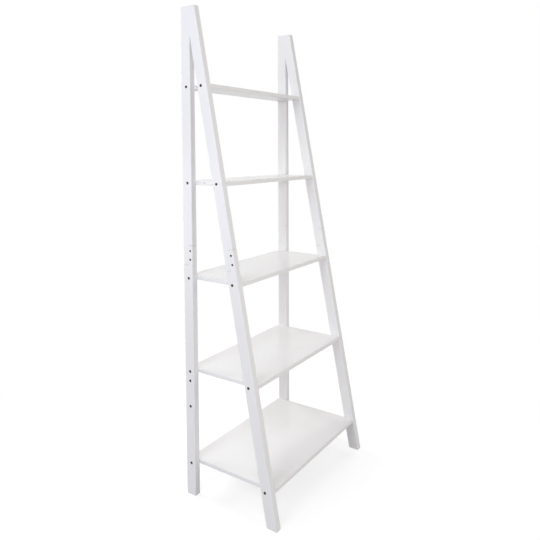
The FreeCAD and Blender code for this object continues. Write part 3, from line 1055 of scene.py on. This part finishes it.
def white_floor_finish():
    """Pale grey for the light that it gives back, and white with a soft shadow to the eye."""
    material, tree, shader = new_finish("studio_floor")
    place = add(tree, "ShaderNodeTexCoord").outputs["Object"]
    tone = two_colours(tree, noise(tree, place, 2.0), (0.40, 0.40, 0.40, 1), (0.43, 0.43, 0.43, 1))
    fill(tree, shader, {"Base Color": tone, "Roughness": 0.9, "Specular IOR Level": 0.0})
    lit = add(tree, "ShaderNodeBsdfDiffuse", {"Color": (0.45, 0.45, 0.45, 1)}).outputs[0]
    glow = add(tree, "ShaderNodeEmission", {"Color": WHITE, "Strength": FLOOR_GLOW}).outputs[0]
    near = add(tree, "ShaderNodeAddShader", {0: lit, 1: glow}).outputs[0]
    far = add(tree, "ShaderNodeEmission", {"Color": WHITE, "Strength": 1.0}).outputs[0]
    away = add(tree, "ShaderNodeVectorMath", {0: place}, operation="LENGTH").outputs[1]
    fade = add(tree, "ShaderNodeMapRange", {
        "Value": away, "From Min": SHADOW_REACH[0], "From Max": SHADOW_REACH[1]}).outputs[0]
    white = add(tree, "ShaderNodeMixShader", {0: fade, 1: near, 2: far}).outputs[0]
    mix = add(tree, "ShaderNodeMixShader", {0: is_watched(tree), 1: shader.outputs[0], 2: white})
    tree.links.new(mix.outputs[0], tree.nodes["Material Output"].inputs["Surface"])
    return material


floor_mesh = bpy.data.meshes.new("studio_floor")
floor_signs = [(-1, -1), (1, -1), (1, 1), (-1, 1)]
floor_corners = [(x * FLOOR_REACH, y * FLOOR_REACH, 0) for x, y in floor_signs]
floor_mesh.from_pydata(floor_corners, [], [(0, 1, 2, 3)])
floor_mesh.materials.append(white_floor_finish())
floor = bpy.data.objects.new("studio_floor", floor_mesh)
bpy.context.collection.objects.link(floor)
print("floor:", floor.name)

# %% Surroundings
AMBIENT = 0.32
AMBIENT_TINT = (1.0, 0.963, 0.976, 1)
world = bpy.data.worlds.new("studio")
bpy.context.scene.world = world
world.use_nodes = True
tree = world.node_tree
soft = tree.nodes["Background"]
fill(tree, soft, {"Color": AMBIENT_TINT, "Strength": AMBIENT})
white = add(tree, "ShaderNodeBackground", {"Color": WHITE, "Strength": 1.0})
mix = add(tree, "ShaderNodeMixShader", {0: is_watched(tree), 1: soft.outputs[0], 2: white.outputs[0]})
tree.links.new(mix.outputs[0], tree.nodes["World Output"].inputs["Surface"])
print("ambient light", AMBIENT)

# %% [markdown]
# ## Light
# Six area lights share the work, all of them large or far off, so that no shadow has a hard edge. A
# strong one high behind whitens the tops of the boards, and a weak one low behind on the left helps it
# under them. A cool one high on the left lights the outer faces, and fades towards the floor. One
# beside the camera and a narrow one in front are for the front edges, and one on the right is for the
# side that the photograph doesn't show. These last three only fill in. Their mirror images would stand
# as hard white blocks in the lacquer, so they are kept out of the gloss. Most strengths and tints come
# from weighing a picture lit by each lamp alone against the photograph.

# %% Lamps
def soft_box(name, place, target, size, watts, colour, mirrored=True):
    """A rectangular area light that looks at a point, and shows in gloss or stays out of it."""
    lamp = bpy.data.lights.new(name, "AREA")
    lamp.shape = "RECTANGLE"
    lamp.size, lamp.size_y = size
    lamp.energy = watts
    lamp.color = colour
    holder = bpy.data.objects.new(name, lamp)
    holder.location = place
    holder.visible_glossy = mirrored
    holder.rotation_euler = (Vector(target) - Vector(place)).to_track_quat("-Z", "Y").to_euler()
    bpy.context.collection.objects.link(holder)
    print(name, watts, "W")


soft_box("back_light", (0, 2.6, 2.6), (0, 0, 1.0), (2.4, 1.4), 57, (1.0, 0.966, 0.926))
soft_box("low_back_light", (-2.0, 2.2, 0.8), (0, 0, 0.7), (1.4, 0.9), 8.4, (0.966, 0.952, 1.0))
soft_box("high_left_light", (-2.6, 0, 2.4), (0, 0, 1.0), (1.2, 1.2), 26.5, (0.856, 0.93, 1.0))
soft_box("camera_light", (-2.4, -1.6, 1.4), (0, 0, 1.0), (1.0, 1.0), 26, (0.96, 0.922, 1.0),
         mirrored=False)
soft_box("front_light", (-0.2, -2.6, 1.4), (0, 0, 1.3), (0.7, 0.9), 18, (1.0, 0.968, 0.843),
         mirrored=False)
soft_box("right_light", (2.8, 0.1, 0.95), (0, 0.1, 0.95), (1.6, 1.6), 22, (1.0, 1.0, 1.0),
         mirrored=False)

# %% [markdown]
# ## Camera
# The photograph was taken from the left front at the height of the upper board, with an almost level
# camera and the picture shifted down, so that upright legs stay upright. Eye, direction and lens come
# from fitting the model's edges to the photograph. Part of the shift is traded for a slight tilt, so
# that less of the top is cut off in views from other sides.

# %% Camera
PICTURE_PIXELS = 540
FOCAL_PIXELS = 557.7
SHIFT_PIXELS = 85
SENSOR_MM = 36
EYE = (-1.8236, -1.2044, 1.2850)
EYE_DEGREES = (86.4831, 0.3087, -55.6824)
camera = bpy.data.cameras.new("camera")
camera.sensor_width = SENSOR_MM
camera.lens = FOCAL_PIXELS / PICTURE_PIXELS * SENSOR_MM
camera.shift_y = -SHIFT_PIXELS / PICTURE_PIXELS
eye = bpy.data.objects.new("camera", camera)
eye.location = EYE
eye.rotation_euler = [math.radians(angle) for angle in EYE_DEGREES]
bpy.context.collection.objects.link(eye)
bpy.context.scene.camera = eye
bpy.context.scene.view_settings.view_transform = "Standard"
print(f"lens {camera.lens:.2f} mm, shift {camera.shift_y:.3f}")
